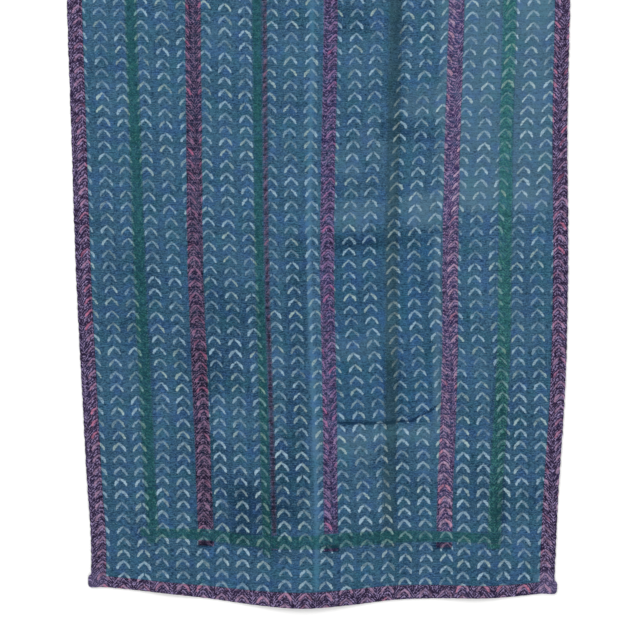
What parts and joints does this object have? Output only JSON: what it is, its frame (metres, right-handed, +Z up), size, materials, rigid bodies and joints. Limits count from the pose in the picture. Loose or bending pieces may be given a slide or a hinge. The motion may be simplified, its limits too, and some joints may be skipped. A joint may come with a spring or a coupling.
{
  "type": "quilted throw blanket",
  "caption": "Flat quilted cotton throw with hand-stitched ribs across it, sewn-on red and green strips, a mending patch and a bound edge.",
  "frame": {"origin": "on the surface that the throw lies on, under the middle of its box", "axes": "+Z up out of the printed face, +Y along the length towards the upper end, +X to the right of the printed face"},
  "size_m": [1.2708, 1.7797, 0.018],
  "materials": {
    "ground_cotton": "soft worn plain-weave cotton, indigo overdyed, block printed and run-stitched",
    "patch_cotton": "soft worn plain-weave cotton, indigo overdyed and block printed",
    "red_cotton": "red cotton turned purple by the indigo overdye",
    "green_cotton": "green cotton darkened by the indigo overdye",
    "olive_cotton": "olive cotton darkened by the indigo overdye",
    "binding_cotton": "red cotton binding turned purple by the indigo overdye, quilted through"
  },
  "bodies": {
    "root": {"quilted_ground": "ground_cotton", "mending_patch": "patch_cotton", "green_strip_1": "green_cotton", "green_strip_2": "green_cotton", "green_strip_3": "olive_cotton", "green_strip_4": "green_cotton", "red_strip_1": "red_cotton", "red_strip_2": "red_cotton", "red_strip_3": "red_cotton", "red_edging": "red_cotton", "green_cross_lower": "green_cotton", "green_cross_upper": "green_cotton", "binding_left": "binding_cotton", "binding_right": "binding_cotton", "binding_lower": "binding_cotton", "binding_upper": "binding_cotton"}
  },
  "joints": []
}
